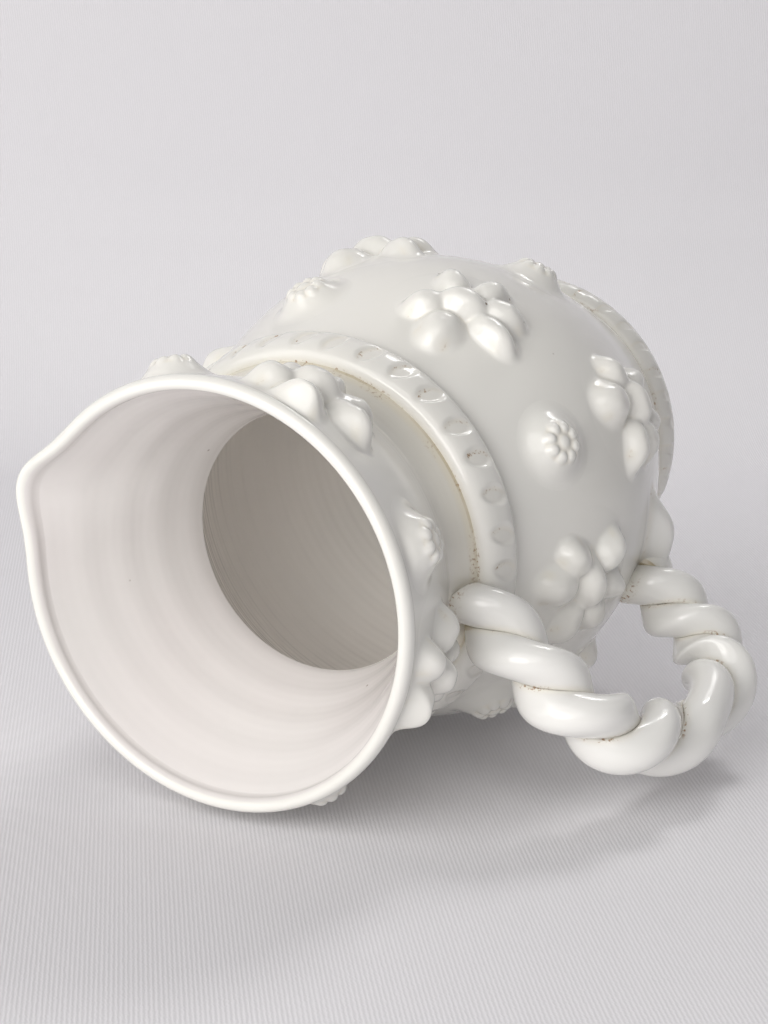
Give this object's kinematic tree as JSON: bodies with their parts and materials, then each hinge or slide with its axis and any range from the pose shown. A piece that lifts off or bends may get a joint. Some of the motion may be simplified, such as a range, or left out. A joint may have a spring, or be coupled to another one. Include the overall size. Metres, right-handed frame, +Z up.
{
  "type": "ceramic pitcher",
  "caption": "White glazed ceramic pitcher with a round belly, waisted neck, pulled spout, rope bands, a twisted rope handle and applied flowers and buttons.",
  "frame": {"origin": "centre of the flat foot underside, on the axis of the thrown body", "axes": "+Z up along the body's axis, +X towards the spout, the handle at -X"},
  "size_m": [0.2141, 0.1617, 0.22],
  "materials": {
    "body_glaze": "gloss",
    "trim_glaze": "gloss"
  },
  "bodies": {
    "root": {"belly": "body_glaze", "neck": "body_glaze", "handle_strand_a": "body_glaze", "handle_strand_b": "body_glaze", "shoulder_rope": "trim_glaze", "foot_rope": "trim_glaze", "upper_flower_1": "trim_glaze", "upper_flower_2": "trim_glaze", "upper_flower_3": "trim_glaze", "upper_flower_4": "trim_glaze", "lower_flower_1": "trim_glaze", "lower_flower_2": "trim_glaze", "lower_flower_3": "trim_glaze", "lower_flower_4": "trim_glaze", "neck_flower_1": "trim_glaze", "neck_flower_2": "trim_glaze", "neck_flower_3": "trim_glaze", "neck_flower_4": "trim_glaze", "upper_button_1": "trim_glaze", "upper_button_2": "trim_glaze", "upper_button_3": "trim_glaze", "upper_button_4": "trim_glaze", "lower_button_1": "trim_glaze", "lower_button_2": "trim_glaze", "lower_button_3": "trim_glaze", "neck_button_1": "trim_glaze", "neck_button_2": "trim_glaze", "neck_button_3": "trim_glaze", "neck_button_4": "trim_glaze"}
  },
  "joints": []
}
